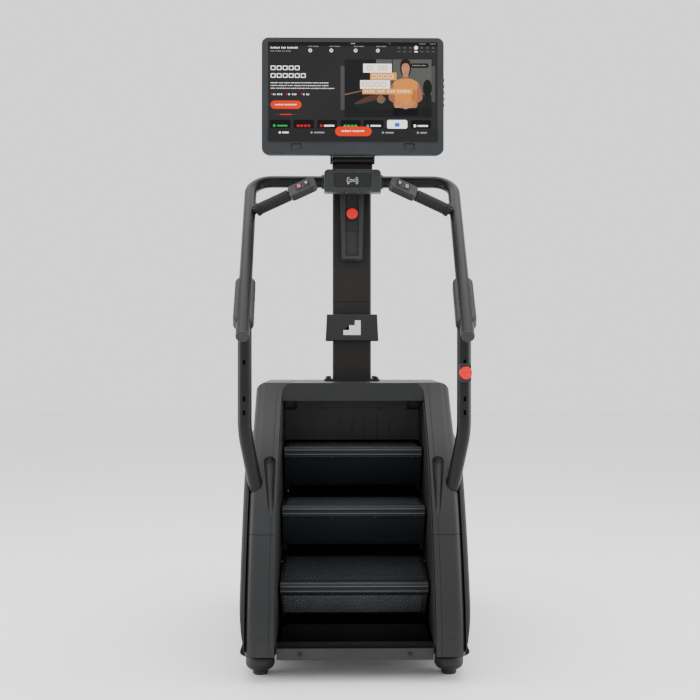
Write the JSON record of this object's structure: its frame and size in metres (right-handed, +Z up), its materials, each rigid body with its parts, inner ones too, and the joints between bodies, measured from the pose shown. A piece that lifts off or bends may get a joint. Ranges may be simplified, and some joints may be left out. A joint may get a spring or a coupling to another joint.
{
  "type": "stair climber",
  "caption": "Gym stair climber with folding open steps on a sloped band, side covers, rear column, sloped handrails, stop buttons and a wide touch screen.",
  "frame": {"origin": "on the floor, under the middle of the machine", "axes": "+X right as the user faces the screen, +Y the way the user faces, +Z up"},
  "size_m": [0.784, 1.2372, 2.14],
  "materials": {
    "cover_plastic": "satin textured",
    "frame_paint": "satin powder coat",
    "tube_paint": "satin powder coat",
    "sheet_paint": "satin",
    "tread_alloy": "dark coated",
    "riser_plastic": "textured",
    "steel": "satin",
    "chain_steel": "oiled",
    "belt_rubber": "matte",
    "grip_rubber": "matte",
    "control_plastic": "satin",
    "red_plastic": "gloss",
    "screen_plastic": "satin",
    "screen_glass": "gloss",
    "under_paint": "matte black",
    "foot_rubber": "matte"
  },
  "bodies": {
    "base": {"upper_cover_left": "cover_plastic", "upper_cover_right": "cover_plastic", "lower_cover_left": "cover_plastic", "lower_cover_right": "cover_plastic", "side_skin_left": "cover_plastic", "side_skin_right": "cover_plastic", "top_cover": "cover_plastic", "rear_cover": "cover_plastic", "rail_clamps": "cover_plastic", "accent_plate": "cover_plastic", "cover_bolts": "frame_paint", "base_frame": "frame_paint", "column_lower": "frame_paint", "column_upper": "frame_paint", "neck": "frame_paint", "handrail_left": "tube_paint", "handrail_right": "tube_paint", "upright_left": "tube_paint", "upright_right": "tube_paint", "well_liners": "sheet_paint", "kick_panel": "sheet_paint", "front_panel": "sheet_paint", "controller_box": "sheet_paint", "brake_housing": "sheet_paint", "shaft_bearings": "steel", "step_chains": "chain_steel", "drive_belt": "belt_rubber", "grip_sleeves": "grip_rubber", "console_post": "control_plastic", "console_box": "control_plastic", "grip_head_left": "control_plastic", "grip_head_right": "control_plastic", "stop_mounts": "control_plastic", "rail_end_caps": "control_plastic", "bottom_pan": "under_paint", "foot_mounts": "foot_rubber"},
    "step_1": {"tread_1": "tread_alloy", "riser_1": "riser_plastic", "axle_1": "steel"},
    "step_2": {"tread_2": "tread_alloy", "riser_2": "riser_plastic", "axle_2": "steel"},
    "step_3": {"tread_3": "tread_alloy", "riser_3": "riser_plastic", "axle_3": "steel"},
    "return_band": {"return_steps": "tread_alloy"},
    "upper_drive": {"upper_shaft": "steel"},
    "lower_drive": {"lower_shaft": "steel"},
    "flywheel": {"brake_rotor": "steel"},
    "post_button": {"stop_button_post": "red_plastic"},
    "side_button": {"stop_button_side": "red_plastic"},
    "rocker_left": {"grip_rocker_left": "control_plastic"},
    "rocker_right": {"grip_rocker_right": "control_plastic"},
    "screen": {"screen_back": "screen_plastic", "screen_bezel": "screen_plastic", "screen_panel": "screen_glass"},
    "foot_front_left": {"foot_pad_front_left": "foot_rubber"},
    "foot_front_right": {"foot_pad_front_right": "foot_rubber"},
    "foot_rear_left": {"foot_pad_rear_left": "foot_rubber"},
    "foot_rear_right": {"foot_pad_rear_right": "foot_rubber"}
  },
  "joints": [
    {"name": "step_2_travel", "type": "slide", "parent": "base", "child": "step_2", "axis": [0, -0.6169, -0.7871], "range_m": [0, 0.06]},
    {"name": "step_1_travel", "type": "slide", "parent": "base", "child": "step_1", "axis": [0, -0.6169, -0.7871], "range_m": [0, 0.06]},
    {"name": "step_3_travel", "type": "slide", "parent": "base", "child": "step_3", "axis": [0, -0.6169, -0.7871], "range_m": [0, 0.06]},
    {"name": "return_travel", "type": "slide", "parent": "base", "child": "return_band", "axis": [0, 0.6169, 0.7871], "range_m": [0, 0.06]},
    {"name": "upper_shaft_turn", "type": "hinge", "parent": "base", "child": "upper_drive", "pos_m": [0, 0.19412, 0.72627], "axis": [1, 0, 0], "range_deg": [0, 50]},
    {"name": "lower_shaft_turn", "type": "hinge", "parent": "base", "child": "lower_drive", "pos_m": [0, -0.2501, 0.1595], "axis": [1, 0, 0], "range_deg": [0, 50]},
    {"name": "flywheel_turn", "type": "hinge", "parent": "base", "child": "flywheel", "pos_m": [0, 0.43, 0.42], "axis": [1, 0, 0], "range_deg": [0, 195]},
    {"name": "post_stop_press", "type": "slide", "parent": "base", "child": "post_button", "axis": [0, 1, 0], "range_m": [0, 0.005], "stiffness_N_per_m": 1500, "springref_m": -0.003},
    {"name": "side_stop_press", "type": "slide", "parent": "base", "child": "side_button", "axis": [0, 1, 0], "range_m": [0, 0.005], "stiffness_N_per_m": 1500, "springref_m": -0.003},
    {"name": "rocker_right_tilt", "type": "hinge", "parent": "base", "child": "rocker_right", "pos_m": [0.17499, -0.14377, 1.61116], "axis": [-0.2102, -0.6765, -0.7059], "range_deg": [-3.5, 3.5], "stiffness_Nm_per_rad": 0.6},
    {"name": "rocker_left_tilt", "type": "hinge", "parent": "base", "child": "rocker_left", "pos_m": [-0.17499, -0.14377, 1.61116], "axis": [0.2102, -0.6765, -0.7059], "range_deg": [-3.5, 3.5], "stiffness_Nm_per_rad": 0.6},
    {"name": "screen_tilt", "type": "hinge", "parent": "base", "child": "screen", "pos_m": [0, -0.015, 1.725], "axis": [1, 0, 0], "range_deg": [-10, 5]},
    {"name": "foot_front_left_level", "type": "slide", "parent": "base", "child": "foot_front_left", "axis": [0, 0, -1], "range_m": [0, 0.015]},
    {"name": "foot_front_right_level", "type": "slide", "parent": "base", "child": "foot_front_right", "axis": [0, 0, -1], "range_m": [0, 0.015]},
    {"name": "foot_rear_left_level", "type": "slide", "parent": "base", "child": "foot_rear_left", "axis": [0, 0, -1], "range_m": [0, 0.015]},
    {"name": "foot_rear_right_level", "type": "slide", "parent": "base", "child": "foot_rear_right", "axis": [0, 0, -1], "range_m": [0, 0.015]}
  ],
  "couplings": [
    {"joint": "step_1_travel", "follows": "step_2_travel", "ratio": 1},
    {"joint": "step_3_travel", "follows": "step_2_travel", "ratio": 1},
    {"joint": "return_travel", "follows": "step_2_travel", "ratio": 1},
    {"joint": "upper_shaft_turn", "follows": "step_2_travel", "rad_per_m": 14.286},
    {"joint": "lower_shaft_turn", "follows": "step_2_travel", "rad_per_m": 14.286},
    {"joint": "flywheel_turn", "follows": "step_2_travel", "rad_per_m": 56.122}
  ]
}
